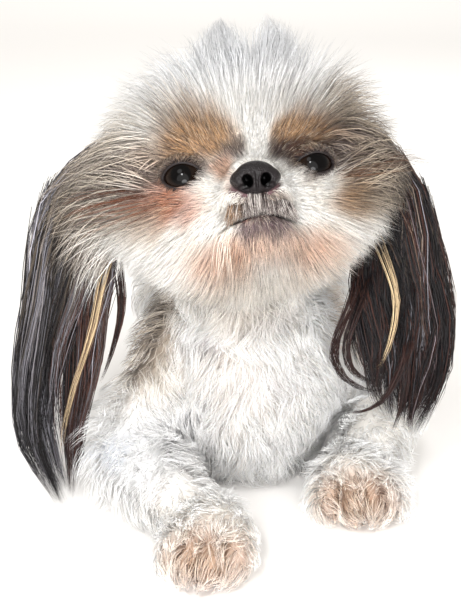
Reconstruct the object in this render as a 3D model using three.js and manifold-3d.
// A shih tzu that lies on its chest with its forelegs out in front and its head raised.
// Millimetres, +Z up. The dog faces -Y and its right side is at -X.
// The origin is on the floor, under the flat of the breastbone.

import * as THREE from "three";
import { mergeVertices } from "three/addons/utils/BufferGeometryUtils.js";
import Module from "manifold-3d";

const wasm = await Module();
wasm.setup();

// Driving dimensions

const GAP = 0.3; // air between two pieces that touch
const EYE_SPACING = 64; // between the centres of the eyes
const EYE_HEIGHT = 199; // above the floor
const EYE_FORWARD = 64; // ahead of the origin
const EYE_RADIUS = 10.5;
const LID_THICKNESS = 1.8;
const HEAD_PITCH = 26; // degrees, nose up
const HEAD_ROLL = 4.5; // degrees, left side up
const HEAD_YAW = 4.5; // degrees, nose towards the left side
const SKULL_WIDTH = 92;
const CHEST_WIDTH = 92;
const CHEST_DEPTH = 128;
const BODY_LENGTH = 285;
const PAW_WIDTH = 46;
const RUFF = 42; // how far the coat stands out from the sides of the skull
const BODY_COAT = 24;
const LEG_COAT = 13;
const TAIL_COAT = 30;
const CORE_SHARE = 0.42; // the dense inner coat, as a share of the way to the tips
const SEED = 20;
const ROOT_SINK = 5; // how deep a lock's root lies under the face of the core

const point = (x, y, z) => new THREE.Vector3(x, y, z);
const mix = THREE.MathUtils.lerp;
const ease = THREE.MathUtils.smoothstep;
const radians = THREE.MathUtils.degToRad;
const DOWN = point(0, 0, -1);

function randomFrom(seed) {
  let state = seed;
  return () => {
    state = (state + 0x6d2b79f5) | 0;
    let mixed = Math.imul(state ^ (state >>> 15), 1 | state);
    mixed = (mixed + Math.imul(mixed ^ (mixed >>> 7), 61 | mixed)) ^ mixed;
    return ((mixed ^ (mixed >>> 14)) >>> 0) / 4294967296;
  };
}

// Forms: a form is a function that gives the distance from a point to a surface, negative inside

const blob = (x, y, z, rx, ry, rz) => ({ centre: point(x, y, z), radii: point(rx, ry, rz) });
const twoBlobs = (x, ...rest) => [blob(x, ...rest), blob(-x, ...rest)];
const bone = (from, to, start, end) => ({ from, to, start, end });

function distanceToBlob(p, { centre, radii }) {
  const q = p.clone().sub(centre).divide(radii);
  const reach = q.length();
  const slope = q.divide(radii).length();
  return slope < 1e-9 ? -Math.min(radii.x, radii.y, radii.z) : (reach * (reach - 1)) / slope;
}

function distanceToBone(p, { from, to, start, end }) {
  const along = to.clone().sub(from);
  const share = THREE.MathUtils.clamp(p.clone().sub(from).dot(along) / along.lengthSq(), 0, 1);
  return p.distanceTo(along.multiplyScalar(share).add(from)) - mix(start, end, share);
}

// One smooth form from several blobs and bones, which flow into each other over the width given.
function formOf(pieces, width) {
  return (p) =>
    pieces
      .map((piece) => (piece.radii ? distanceToBlob(p, piece) : distanceToBone(p, piece)))
      .reduce((a, b) => {
        const near = Math.max(width - Math.abs(a - b), 0) / width;
        return Math.min(a, b) - (near * near * width) / 4;
      });
}

function outwardAt(form, p) {
  const at = (axis, step) => form(p.clone().addScaledVector(axis, step));
  const slope = (axis) => at(axis, 0.5) - at(axis, -0.5);
  return point(slope(point(1, 0, 0)), slope(point(0, 1, 0)), slope(point(0, 0, 1))).normalize();
}

// Solids

function solidOf(geometry) {
  const bare = new THREE.BufferGeometry().setAttribute("position", geometry.getAttribute("position"));
  if (geometry.index) bare.setIndex(geometry.index);
  const merged = mergeVertices(bare, 1e-3);
  const vertProperties = merged.attributes.position.array;
  const make = (triVerts) => new wasm.Manifold(new wasm.Mesh({ numProp: 3, vertProperties, triVerts }));
  const faces = new Uint32Array(merged.index.array);
  const made = make(faces);
  return made.volume() > 0 ? made : make(faces.reverse());
}

// The last point on the way out from the centre where the form is still lower than the level.
function lastPoint(form, centre, way, level) {
  const at = (s) => centre.clone().addScaledVector(way, s);
  const step = 2;
  let outer = 240;
  while (outer > step && form(at(outer - step)) > level) outer -= step;
  let inner = outer - step;
  for (let k = 0; k < 12; k++) {
    const half = (inner + outer) / 2;
    if (form(at(half)) > level) outer = half;
    else inner = half;
  }
  return at(outer);
}

// A ball of faces whose points are pushed out to the form's surface, and past it by the coat there.
function skinOf(form, centre, detail, coat = () => 0, grow = 0) {
  const geometry = new THREE.IcosahedronGeometry(1, detail);
  const places = geometry.getAttribute("position");
  const found = new Map();
  for (let i = 0; i < places.count; i++) {
    const way = point(0, 0, 0).fromBufferAttribute(places, i).normalize();
    const key = way.toArray().map((n) => n.toFixed(4)).join();
    if (!found.has(key)) {
      const depth = coat(lastPoint(form, centre, way, 0));
      found.set(key, lastPoint(form, centre, way, depth + grow));
    }
    places.setXYZ(i, ...found.get(key).toArray());
  }
  return solidOf(geometry);
}

// A round bone with a ball at each end, as a turned profile laid from one point to the other.
function boneSolid({ from, to, start, end }, grow = 0, sides = 7, rounds = 3) {
  const along = to.clone().sub(from);
  const length = along.length();
  const arc = (radius, base, first, last) =>
    Array.from({ length: rounds }, (_, k) => {
      const turn = mix(first, last, k / (rounds - 1));
      return new THREE.Vector2(Math.max(radius * Math.cos(turn), 0), base + radius * Math.sin(turn));
    });
  const profile = [
    ...arc(start + grow, 0, -Math.PI / 2, -0.1),
    ...arc(end + grow, length, 0.1, Math.PI / 2),
  ];
  profile[0].x = 0;
  profile[profile.length - 1].x = 0;
  const geometry = new THREE.LatheGeometry(profile, sides);
  geometry.applyQuaternion(new THREE.Quaternion().setFromUnitVectors(point(0, 1, 0), along.normalize()));
  return solidOf(geometry.translate(from.x, from.y, from.z));
}

const bonesSolid = (bones, ...how) => bones.map((b) => boneSolid(b, ...how)).reduce((a, b) => a.add(b));

function ballSolid(centre, radius, detail = 2) {
  return solidOf(new THREE.IcosahedronGeometry(radius, detail).translate(centre.x, centre.y, centre.z));
}

function blockSolid(low, high) {
  const size = high.clone().sub(low);
  const middle = low.clone().add(high).multiplyScalar(0.5);
  return solidOf(new THREE.BoxGeometry(...size.toArray()).translate(...middle.toArray()));
}

const FLOOR = blockSolid(point(-900, -900, -200), point(900, 900, 0));

// Locks: each is a flat, tapered strip of hair with a ridge along it, from a sunk root to a point

const LOCK_RINGS = [
  { at: 0, wide: 0.4, deep: 0.8 },
  { at: 0.25, wide: 0.85, deep: 1 },
  { at: 0.68, wide: 0.9, deep: 0.7 },
  { at: 1, wide: 0, deep: 0 },
];
const LONG_RINGS = [
  { at: 0, wide: 0.7, deep: 1 },
  { at: 0.28, wide: 1, deep: 1 },
  { at: 0.58, wide: 1, deep: 0.8 },
  { at: 0.84, wide: 0.6, deep: 0.5 },
  { at: 1, wide: 0, deep: 0 },
];

// Each stop is a triangle with its base to the body and its ridge outwards, and the last is the tip.
function lockSolid(stops, grow = 0) {
  const corners = [];
  const faces = [[0, 1, 2]];
  stops.forEach(({ p, out, wide, deep }, k) => {
    const before = stops[Math.max(k - 1, 0)].p;
    const after = stops[Math.min(k + 1, stops.length - 1)].p;
    const along = after.clone().sub(before).normalize();
    if (k === stops.length - 1) {
      corners.push(p.clone().addScaledVector(along, 5 * grow));
      return;
    }
    const across = along.clone().cross(out).normalize();
    const up = across.clone().cross(along);
    const half = wide / 2 + 3.5 * grow;
    const base = p.clone().addScaledVector(up, -deep * 0.35 - grow);
    if (k === 0) base.addScaledVector(along, -grow);
    corners.push(base.clone().addScaledVector(across, -half));
    corners.push(base.clone().addScaledVector(across, half));
    corners.push(base.clone().addScaledVector(up, deep + 2.2 * grow));
  });
  const last = corners.length - 1;
  for (let first = 0; first < last; first += 3) {
    for (let k = 0; k < 3; k++) {
      const [a, b] = [first + k, first + ((k + 1) % 3)];
      if (first + 3 === last) faces.push([b, a, last]);
      else faces.push([b, a, a + 3], [b, a + 3, b + 3]);
    }
  }
  const numbers = corners.flatMap((corner) => corner.toArray());
  const geometry = new THREE.BufferGeometry();
  geometry.setAttribute("position", new THREE.Float32BufferAttribute(numbers, 3));
  geometry.setIndex(faces.flat());
  return solidOf(geometry);
}

// A lock that starts under the core, follows the lie of the coat over the form, and rises to the tips.
function lockOver(form, root, { lie, length, width, thick, coat, reach, sag }) {
  const p = root.clone();
  let gone = 0;
  return LOCK_RINGS.map(({ at, wide, deep }) => {
    const way = lie(p).projectOnPlane(outwardAt(form, p)).normalize();
    p.addScaledVector(way, length * (at - gone));
    gone = at;
    const rise = coat(p) * mix(CORE_SHARE, reach, at * 0.75 + 0.25);
    const level = at === 0 ? CORE_SHARE * coat(p) - ROOT_SINK : rise;
    p.addScaledVector(outwardAt(form, p), level - form(p));
    const place = p.clone().addScaledVector(DOWN, sag * at * at);
    return { p: place, out: outwardAt(form, p), wide: width * wide, deep: thick * deep };
  });
}

// Roots spread evenly over a form: random places, each next one the farthest from those already taken.
function rootsOn(form, axis, count, seed, allowed) {
  const random = randomFrom(seed);
  const places = [];
  for (let tries = 0; tries < count * 14; tries++) {
    const turn = random() * 2 * Math.PI;
    const rise = random() * 2 - 1;
    const flat = Math.sqrt(1 - rise * rise);
    const way = point(flat * Math.cos(turn), flat * Math.sin(turn), rise);
    const p = lastPoint(form, axis(random()), way, 0);
    if (allowed(p)) places.push(p);
  }
  const taken = [];
  while (taken.length < count && places.length) {
    const room = (p) => Math.min(...taken.map((q) => p.distanceTo(q)), 1e3);
    const best = places.reduce((a, b) => (room(b) > room(a) ? b : a));
    taken.push(best);
    places.splice(places.indexOf(best), 1);
  }
  return taken;
}

// A lock that would run into another piece is bent out of it, and none comes near the floor.
function bendClear(stops, others) {
  for (const { p, deep } of stops.slice(1)) {
    const margin = deep * 0.5 + 1;
    for (const other of others) {
      const short = margin - other.form(p);
      if (short > 0) p.addScaledVector(outwardAt(other.form, p), short);
    }
    p.z = Math.max(p.z, deep * 0.5 + 1);
  }
  return stops;
}

// The head's own frame has its origin midway between the eyes, with the face towards -Y.

const headTurn = new THREE.Euler(radians(-HEAD_PITCH), radians(-HEAD_ROLL), radians(HEAD_YAW), "ZXY");
const headFrame = new THREE.Matrix4()
  .makeRotationFromEuler(headTurn)
  .setPosition(0, -EYE_FORWARD, EYE_HEIGHT);
const headBack = headFrame.clone().invert();
const onHead = (solid) => solid.transform(headFrame.toArray());
const headForm = (form) => (p) => form(p.clone().applyMatrix4(headBack));

const parts = [];
const place = (name, colour, made) => parts.push({ name, colour, roughness: 0.9, ...made });

// Eyes and lids

const EYE_DEPTH = 4; // the eyes' centres lie this far behind the face's front plane
const LID_OPENING = { width: 21, height: 15 };

function eyeSide(side) {
  const centre = point((side * EYE_SPACING) / 2, EYE_DEPTH, 0);
  const gaze = point(side * 0.22, -1, 0).normalize();
  const lidRadius = EYE_RADIUS + GAP + LID_THICKNESS;
  const ball = (radius) => onHead(ballSolid(centre, radius, 1));
  const front = (more) => onHead(blockSolid(point(-90, -60, -60), point(90, EYE_DEPTH + 3 + more, 60)));
  const almond = new THREE.Shape();
  const { width, height } = LID_OPENING;
  almond.moveTo(-width / 2, 0);
  almond.quadraticCurveTo(0, height, width / 2, 0);
  almond.quadraticCurveTo(0, -height * 0.9, -width / 2, 0);
  const opening = new THREE.ExtrudeGeometry(almond, { depth: 40, bevelEnabled: false, curveSegments: 5 });
  opening.applyQuaternion(new THREE.Quaternion().setFromUnitVectors(point(0, 0, 1), gaze));
  opening.translate(...centre.toArray());
  const cap = ball(lidRadius).intersect(front(0));
  const mark = side < 0 ? "right" : "left";
  place(`eye_${mark}`, "#1a1009", {
    core: ball(EYE_RADIUS),
    grown: ball(EYE_RADIUS + GAP),
    roughness: 0.05,
  });
  place(`eyelids_${mark}`, "#3a2a24", {
    core: cap.subtract(ball(EYE_RADIUS + GAP)).subtract(onHead(solidOf(opening))),
    grown: ball(lidRadius + GAP).intersect(front(GAP)),
  });
}
eyeSide(-1);
eyeSide(1);

// Nose leather

const NOSE = point(0, -25, -9);

function nose() {
  const form = formOf(
    [blob(0, NOSE.y, NOSE.z, 10.5, 8, 8), ...twoBlobs(7, NOSE.y + 1, NOSE.z - 1.5, 5.5, 7, 6)],
    4,
  );
  const nostril = (side) =>
    bonesSolid([
      bone(point(side * 5, NOSE.y - 9, NOSE.z - 2), point(side * 4.8, NOSE.y - 1, NOSE.z - 1.5), 2.6, 2.2),
      bone(point(side * 6.4, NOSE.y - 8, NOSE.z - 3), point(side * 11, NOSE.y - 4, NOSE.z - 4.4), 1.4, 1),
    ], 0, 7, 2);
  const groove = bone(point(0, NOSE.y - 9, NOSE.z - 1), point(0, NOSE.y - 6, NOSE.z - 9), 0.9, 1.1);
  const philtrum = boneSolid(groove, 0, 6, 2);
  const body = skinOf(form, NOSE, 3).subtract(nostril(-1)).subtract(nostril(1)).subtract(philtrum);
  place("nose", "#1d1918", {
    core: onHead(body),
    grown: onHead(skinOf(form, NOSE, 3, undefined, GAP)),
    form: headForm(form),
    roughness: 0.35,
  });
}
nose();

// Skull, muzzle and lower jaw

const skullForm = formOf(
  [
    blob(0, 42, 8, SKULL_WIDTH * 0.48, 44, 40),
    ...twoBlobs(SKULL_WIDTH * 0.29, 22, -16, 22, 28, 22),
    ...twoBlobs(25, 10, 15, 17, 13, 10),
    ...twoBlobs(29, 12, -6, 20, 13, 14),
    blob(0, 4, -16, 30, 16, 20),
    blob(0, 8, 8, 16, 14, 18),
    blob(0, 34, -28, 30, 34, 16),
  ],
  9,
);
const SKULL_MIDDLE = point(0, 34, -2);
const FACE = point(0, -16, -10); // the coat's lie spreads from here

// The coat lies flat on the face, is short round the eyes, and stands out most at the crown and cheeks.
function ruffDepth(p) {
  const way = p.clone().sub(SKULL_MIDDLE);
  const turn = THREE.MathUtils.radToDeg(Math.acos(-way.y / way.length()));
  const eye = point((Math.sign(p.x) * EYE_SPACING) / 2, EYE_DEPTH, 0);
  const rise = way.z / way.length();
  const lower = mix(1, 0.6, ease(-rise, 0, 0.7));
  const sideways = mix(1, 1.2, ease(Math.abs(way.x) / way.length(), 0.4, 0.9));
  const full = RUFF * sideways * (rise > 0 ? 1 : lower);
  return full * ease(turn, 25, 80) * ease(p.distanceTo(eye), 14, 44) * mix(1, 0.7, ease(turn, 100, 160));
}

const muzzleForm = formOf(
  [
    ...twoBlobs(7.5, -15, -18, 8.5, 10, 7.5),
    blob(0, -10, -9, 12, 12, 9),
    ...twoBlobs(10, -4, -17, 9, 11, 9),
  ],
  5,
);
const jawForm = formOf([blob(0, -13, -31.5, 12.5, 10, 6.5), blob(0, -3, -34, 17, 14, 8)], 6);

function head() {
  const coat = (p) => CORE_SHARE * ruffDepth(p);
  const build = (grow) => onHead(skinOf(skullForm, SKULL_MIDDLE, 4, coat, grow));
  const form = (p) => skullForm(p) - coat(p);
  place("head", "#e8e2da", { core: build(0), grown: build(GAP), form: headForm(form) });
}
head();

function muzzle() {
  const centre = point(0, -8, -16);
  const build = (grow) => onHead(skinOf(muzzleForm, centre, 3, undefined, grow));
  const crease = onHead(boneSolid(bone(point(0, -28, -16), point(0, -25, -30), 0.9, 0.9), 0, 6, 2));
  place("muzzle", "#e9dccf", {
    core: build(0).subtract(crease),
    grown: build(GAP),
    form: headForm(muzzleForm),
  });
}
muzzle();

function lowerJaw() {
  const centre = point(0, -8, -37);
  const build = (grow) => onHead(skinOf(jawForm, centre, 2, undefined, grow));
  const lips = onHead(skinOf(muzzleForm, point(0, -8, -16), 2, undefined, 1.2));
  place("lower_jaw", "#cdb6a4", {
    core: build(0).subtract(lips),
    grown: build(GAP),
    form: headForm(jawForm),
  });
}
lowerJaw();

// Torso and neck

const TORSO_MIDDLE = point(0, 100, 74);
const torsoForm = formOf(
  [
    blob(0, 44, CHEST_DEPTH * 0.59, CHEST_WIDTH / 2, 74, CHEST_DEPTH * 0.47),
    blob(0, -4, 62, 40, 30, 50),
    blob(0, 128, 72, 45, 80, 56),
    blob(0, BODY_LENGTH - 84, 80, 50, 50, 54),
    blob(0, 30, 24, 38, 50, 24),
  ],
  20,
);
const neckBones = [
  bone(point(0, 34, 118), point(-2, 6, 168), 36, 34),
  bone(point(0, 0, 100), point(-1, -22, 150), 30, 24),
];

function torso() {
  const coat = () => CORE_SHARE * BODY_COAT;
  const build = (grow) => skinOf(torsoForm, TORSO_MIDDLE, 4, coat, grow);
  place("torso", "#d9cbb8", { core: build(0), grown: build(GAP), form: (p) => torsoForm(p) - coat() });
}
torso();

function neck() {
  const more = CORE_SHARE * BODY_COAT * 0.8;
  const form = formOf(neckBones, 8);
  place("neck", "#f2efea", {
    core: bonesSolid(neckBones, more),
    grown: bonesSolid(neckBones, more + GAP),
    form: (p) => form(p) - more,
  });
}
neck();

// Legs: each is a few bones with a paw, and each paw has four toes with a claw

const LEGS = {
  foreleg_right: {
    bones: [
      bone(point(-34, 0, 78), point(-66, -32, 24), 22, 17),
      bone(point(-66, -32, 22), point(-34, -80, 18), 17, 14),
    ],
    paw: point(-20, -104, 14),
    heading: -12,
  },
  foreleg_left: {
    bones: [
      bone(point(36, 14, 78), point(92, 38, 28), 22, 17),
      bone(point(92, 38, 26), point(72, -16, 20), 17, 14),
    ],
    paw: point(62, -46, 14),
    heading: 4,
  },
  hindleg_right: {
    bones: [
      bone(point(-30, 210, 88), point(-48, 166, 54), 34, 24),
      bone(point(-48, 166, 50), point(-56, 236, 26), 22, 13),
      bone(point(-56, 236, 18), point(-55, 194, 14), 12, 11),
    ],
    paw: point(-54, 166, 12),
    heading: 2,
  },
  hindleg_left: {
    bones: [
      bone(point(30, 210, 88), point(48, 166, 54), 34, 24),
      bone(point(48, 166, 50), point(56, 236, 26), 22, 13),
      bone(point(56, 236, 18), point(55, 194, 14), 12, 11),
    ],
    paw: point(54, 166, 12),
    heading: -2,
  },
};
const PAW_COAT = 6; // short fur, in the smooth form of the paw
const TOE_SPREAD = [-1.5, -0.5, 0.5, 1.5];

// A paw in its own frame: the toes point to -Y, and the sole is near Z = -12.
function pawForms(more) {
  const pitch = PAW_WIDTH / 4;
  const toes = TOE_SPREAD.map((n) =>
    blob(n * pitch * 0.92, -17 + n * n * 2.6, -4, pitch * 0.56 + more, 13 + more, 9.5 + more),
  );
  return formOf([blob(0, 4, 0, PAW_WIDTH * 0.42 + more, 22 + more, 13 + more), ...toes], 3);
}

function paw(name, { paw: centre, heading }) {
  const turn = new THREE.Matrix4().makeRotationZ(radians(heading)).setPosition(centre);
  const back = turn.clone().invert();
  const inPlace = (solid) => solid.transform(turn.toArray());
  const more = PAW_COAT;
  const form = pawForms(more);
  const short = name.replace("leg", "paw");
  TOE_SPREAD.forEach((n, i) => {
    const x = (n * PAW_WIDTH * 0.92) / 4;
    const front = -30 + n * n * 2.6 - more;
    const claw = bone(point(x, front + 5, -3), point(x, front - 4, -7), 2.6, 1.1);
    const nail = (grow) => inPlace(boneSolid(claw, grow, 5, 2));
    place(`${short}_claw_${i + 1}`, "#d8c8b4", { core: nail(0), grown: nail(GAP), roughness: 0.4 });
  });
  const detail = name.startsWith("fore") ? 3 : 2;
  const build = (grow) => inPlace(skinOf(form, point(0, 0, 0), detail, undefined, grow));
  place(short, "#efe6dc", {
    core: build(0),
    grown: build(GAP),
    form: (p) => form(p.clone().applyMatrix4(back)),
  });
}

function leg(name, { bones }) {
  const more = CORE_SHARE * LEG_COAT;
  const form = formOf(bones, 8);
  place(name, "#f2efea", {
    core: bonesSolid(bones, more),
    grown: bonesSolid(bones, more + GAP),
    form: (p) => form(p) - more,
  });
}
for (const [name, spec] of Object.entries(LEGS)) {
  paw(name, spec);
  leg(name, spec);
}

// Tail, carried over the back

const tailLine = new THREE.CatmullRomCurve3([
  point(0, 232, 108),
  point(2, 260, 146),
  point(6, 248, 178),
  point(12, 212, 192),
  point(18, 172, 188),
  point(24, 142, 176),
]);

function tailBones(coat) {
  const steps = 4;
  const radius = (t) => mix(9, 5, t) + coat;
  return Array.from({ length: steps }, (_, k) => {
    const [a, b] = [k / steps, (k + 1) / steps];
    return bone(tailLine.getPoint(a), tailLine.getPoint(b), radius(a), radius(b));
  });
}

function tail() {
  const bones = tailBones(CORE_SHARE * TAIL_COAT);
  place("tail", "#efe9e0", {
    core: bonesSolid(bones, 0, 7),
    grown: bonesSolid(bones, GAP, 7),
    form: formOf(bones, 4),
  });
}
tail();

// Ears: a cupped flap of leather that hangs from the side of the head, with long hair between two edges

const EARS = {
  right: {
    outer: [
      [-80, -8, 204], [-114, -10, 174], [-127, -17, 118],
      [-136, -24, 66], [-131, -32, 30], [-110, -44, 4],
    ],
    inner: [
      [-62, -10, 176], [-70, -14, 144], [-76, -18, 114],
      [-83, -24, 80], [-93, -31, 44], [-97, -42, 5],
    ],
  },
  left: {
    outer: [
      [76, -6, 208], [98, -8, 180], [112, -12, 140],
      [120, -17, 102], [117, -26, 72], [96, -42, 46],
    ],
    inner: [
      [60, -10, 182], [64, -16, 150], [59, -24, 118],
      [60, -30, 92], [64, -36, 70], [77, -44, 54],
    ],
  },
};

const EAR_FLAP = 0.5; // the leather's share of the ear's length
const EAR_LEATHER = 5.2; // thickness
const EAR_CUP = 0.22; // depth of the cup, as a share of the ear's half width
const EAR_LOCKS = 4; // side by side in each tier
const EAR_LOCK_DEPTH = 4.5;
const EAR_TIERS = [
  { first: 0.42, last: 1, lift: 2.5 },
  { first: 0.24, last: 0.84, lift: 7 },
  { first: 0.06, last: 0.64, lift: 11.5 },
];

function earLines(side) {
  const line = (points) => new THREE.CatmullRomCurve3(points.map((p) => point(...p)));
  const outer = line(EARS[side].outer);
  const inner = line(EARS[side].inner);
  return (across, along) => inner.getPoint(along).lerp(outer.getPoint(along), across);
}

// The flap is shorter than the hair, and is cupped towards the head.
function ear(side) {
  const at = earLines(side);
  const width = (t) => at(0, t).distanceTo(at(1, t)) / 2;
  const build = (grow) => {
    const sphere = new THREE.SphereGeometry(1, 12, 8);
    const places = sphere.getAttribute("position");
    for (let i = 0; i < places.count; i++) {
      const p = point(0, 0, 0).fromBufferAttribute(places, i);
      const t = mix(0, EAR_FLAP, (1 - p.y) / 2);
      const across = at(1, t).sub(at(0, t)).normalize();
      const round = Math.sqrt(Math.max(1 - p.y * p.y, 0));
      const place = at(0.5, t).addScaledVector(across, p.x * (width(t) * 0.9 + grow));
      place.y += p.z * (EAR_LEATHER / 2 + grow) + EAR_CUP * width(t) * p.x * p.x;
      place.z += Math.sign(p.y) * grow * (1 - round);
      places.setXYZ(i, ...place.toArray());
    }
    return solidOf(sphere);
  };
  const bones = [0, 0.2, 0.4, 0.6, 0.8].map((t) => bone(at(0.5, t), at(0.5, t + 0.2), 15, 15));
  place(`ear_${side}`, "#3b322e", {
    core: build(0),
    grown: build(GAP),
    form: formOf(bones, 4),
    locks: earLocks(side),
  });
}

// Long hair in three tiers, rooted in the flap, and the lowest reaches the ear's end.
function earLocks(side) {
  const at = earLines(side);
  const random = randomFrom(side === "right" ? SEED + 1 : SEED + 2);
  const locks = [];
  for (const { first, last, lift } of EAR_TIERS) {
    for (let k = 0; k < EAR_LOCKS; k++) {
      const u = (k + 0.5) / EAR_LOCKS;
      const end = Math.min(last + (random() - 0.5) * 0.1, 1);
      locks.push(
        LONG_RINGS.map(({ at: s, wide, deep }) => {
          const t = mix(first, end, s);
          const width = at(0, t).distanceTo(at(1, t));
          const p = at(u, t);
          p.y += (EAR_CUP * width * (2 * u - 1) ** 2) / 2;
          p.y -= s === 0 ? 0 : lift;
          const out = point(side === "right" ? -0.3 : 0.3, -1, 0.1).normalize();
          const spread = (1.05 * Math.max(width, 12)) / EAR_LOCKS;
          return { p, out, wide: wide * spread, deep: deep * EAR_LOCK_DEPTH };
        }),
      );
    }
  }
  return locks;
}
ear("right");
ear("left");

// The coat: where each node's locks grow, how they lie, and how long they are

const byName = (name) => parts.find((part) => part.name === name);
const CROWN_TUFT = { length: 33, width: 17, thick: 5 };
const LOWEST_ROOT = 16;
const CHEST_BACK = 4; // the chest's own locks grow ahead of here
const HAIR = ["ear_right", "ear_left", "head", "tail", "neck", "torso"];
const face = FACE.clone().applyMatrix4(headFrame);
const skullWorld = headForm(skullForm);
const ruffWorld = (p) => ruffDepth(p.clone().applyMatrix4(headBack));

function coatOf(name, { flesh, axis, count, size, coat, lie, seed, where = () => true }) {
  const others = parts.filter((part) => part.form && part.name !== name && !part.name.includes("claw"));
  const clear = (p) => others.every((other) => other.form(p) > 4);
  const allowed = (p) => coat(p) > 5 && p.z > LOWEST_ROOT && where(p) && clear(p);
  const random = randomFrom(seed);
  const locks = rootsOn(flesh, axis, count, seed, allowed).map((root) => {
    const share = Math.min(coat(root) / size.full, 1);
    const stops = lockOver(flesh, root, {
      lie,
      coat,
      sag: size.sag,
      thick: size.thick,
      width: size.width * mix(0.85, 1.1, random()) * mix(0.6, 1, share),
      length: size.length * mix(0.85, 1.15, random()) * mix(0.6, 1, share),
      reach: mix(0.85, 1.05, random()),
    });
    return bendClear(stops, others);
  });
  const part = byName(name);
  part.locks = [...(part.locks ?? []), ...locks];
}

coatOf("head", {
  flesh: skullWorld,
  axis: () => SKULL_MIDDLE.clone().applyMatrix4(headFrame),
  count: 42,
  size: { width: 36, thick: 7, length: 50, sag: 2, full: RUFF },
  coat: ruffWorld,
  lie: (p) => p.clone().sub(face).normalize().addScaledVector(DOWN, 1.2 * ease(p.y, -60, 10)),
  seed: SEED + 32,
});
// Two tufts stand up from the crown, one to each side of the blaze.
for (const side of [-1, 1]) {
  for (const k of [-1, 0, 1]) {
    const way = point(0.1 + side * 0.2 + k * 0.13, -0.1 - 0.1 * k * k, 1).normalize();
    const sunk = CORE_SHARE * RUFF - ROOT_SINK;
    const root = lastPoint(skullForm, SKULL_MIDDLE, way, 0).addScaledVector(way, sunk);
    const rise = CROWN_TUFT.length * (1 - 0.12 * k * k);
    byName("head").locks.push(
      LOCK_RINGS.map(({ at, wide, deep }) => {
        const p = root.clone().addScaledVector(way, rise * at);
        p.y -= 3 * at * at;
        return {
          p: p.applyMatrix4(headFrame),
          out: point(0, -1, 0.4).normalize(),
          wide: CROWN_TUFT.width * wide,
          deep: CROWN_TUFT.thick * deep,
        };
      }),
    );
  }
}

coatOf("tail", {
  flesh: formOf(tailBones(0), 4),
  axis: (t) => tailLine.getPoint(t),
  count: 10,
  size: { width: 30, thick: 5, length: 58, sag: 10, full: TAIL_COAT },
  coat: () => TAIL_COAT,
  lie: (p) => point(p.x - 12, 0, 0).multiplyScalar(0.05).add(point(0, -0.5, -0.6)),
  seed: SEED + 4,
});
coatOf("neck", {
  flesh: formOf(neckBones, 8),
  axis: (t) => neckBones[1].from.clone().lerp(neckBones[1].to, t),
  count: 7,
  size: { width: 38, thick: 6, length: 46, sag: 3, full: BODY_COAT * 0.8 },
  coat: () => BODY_COAT * 0.8,
  lie: (p) => point(p.x * 0.01, (p.y - 20) * 0.02, -1),
  seed: SEED + 5,
});
coatOf("torso", {
  flesh: torsoForm,
  axis: (t) => point(0, mix(-10, 236, t), mix(62, 82, t)),
  count: 18,
  size: { width: 54, thick: 8, length: 76, sag: 3, full: BODY_COAT },
  coat: () => BODY_COAT,
  lie: (p) => point(p.x * 0.006, ease(p.y, -10, 80) * 0.9, -0.3 - Math.abs(p.x) / 60),
  seed: SEED + 15,
  where: (p) => p.y > CHEST_BACK && p.z > 40,
});
coatOf("torso", {
  flesh: torsoForm,
  axis: () => point(0, 10, 70),
  count: 9,
  size: { width: 44, thick: 7, length: 54, sag: 2, full: BODY_COAT },
  coat: () => BODY_COAT,
  lie: (p) => point(p.x * 0.008, 0, -1),
  seed: SEED + 14,
  where: (p) => p.y < CHEST_BACK,
});
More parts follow.
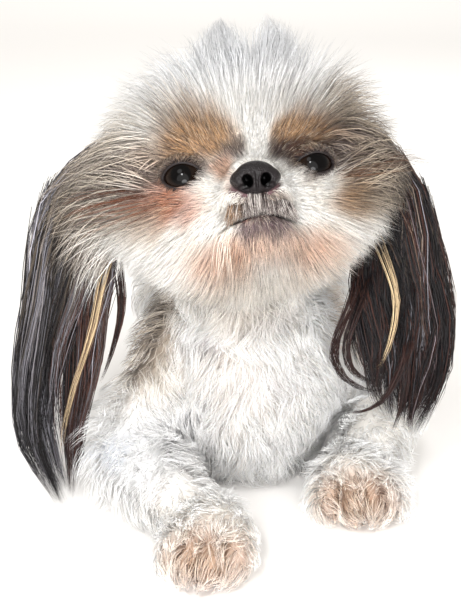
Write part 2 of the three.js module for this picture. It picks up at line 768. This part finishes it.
for (const [i, [name, { bones, paw: end }]] of Object.entries(LEGS).entries()) {
  HAIR.push(name);
  coatOf(name, {
    flesh: formOf(bones, 8),
    axis: (t) => {
      const k = Math.min(Math.floor(t * bones.length), bones.length - 1);
      return bones[k].from.clone().lerp(bones[k].to, t * bones.length - k);
    },
    count: name.startsWith("fore") ? 7 : 4,
    size: { width: 30, thick: 5.5, length: 42, sag: 1, full: LEG_COAT },
    coat: () => LEG_COAT,
    lie: (p) => end.clone().sub(p).normalize().addScaledVector(DOWN, 0.3),
    seed: SEED + 7 + i,
  });
}

// Joining: each core is cut clear of those before it in this order, and locks of every other node

const ORDER = [
  "eye_right", "eye_left", "eyelids_right", "eyelids_left", "nose", "head", "muzzle", "lower_jaw",
  "torso", "neck", "tail", "claw", "forepaw", "hindpaw", "foreleg", "hindleg", "ear",
];
const rank = ({ name }) => ORDER.findIndex((word) => name.includes(word));
parts.sort((a, b) => rank(a) - rank(b));

function geometryOf(solid) {
  const { vertProperties, triVerts } = solid.getMesh();
  return new THREE.BufferGeometry()
    .setAttribute("position", new THREE.BufferAttribute(vertProperties, 3))
    .setIndex(new THREE.BufferAttribute(triVerts, 1));
}

// Points that almost touch are merged each round, so a hollow that hangs on by a hair is dropped too.
function largestOf(solid) {
  let made = solid;
  for (let round = 0; round < 3; round++) {
    const bodies = solidOf(geometryOf(made)).decompose();
    made = bodies.reduce((a, b) => (a.volume() > b.volume() ? a : b));
  }
  return made;
}

const joinAll = (solids) => solids.reduce((a, b) => a.add(b));
const cores = parts.map((part, i) =>
  parts.slice(0, i).reduce((made, before) => made.subtract(before.grown), part.core).subtract(FLOOR),
);
const solids = new Map(parts.map((part, i) => [part, largestOf(cores[i])]));
const hairBefore = [];
for (const name of HAIR) {
  const part = byName(name);
  let hair = joinAll(part.locks.map((lock) => lockSolid(lock))).subtract(FLOOR);
  for (const other of parts) if (other !== part) hair = hair.subtract(other.grown);
  for (const before of hairBefore) hair = hair.subtract(before);
  solids.set(part, largestOf(solids.get(part).add(hair)));
  hairBefore.push(joinAll(part.locks.map((lock) => lockSolid(lock, GAP))), solids.get(part));
}

const dog = new THREE.Group();
for (const [{ name, colour, roughness }, solid] of solids) {
  const material = new THREE.MeshStandardMaterial({ color: colour, roughness, metalness: 0 });
  const mesh = new THREE.Mesh(geometryOf(solid), material);
  mesh.name = name;
  dog.add(mesh);
}

export default dog;
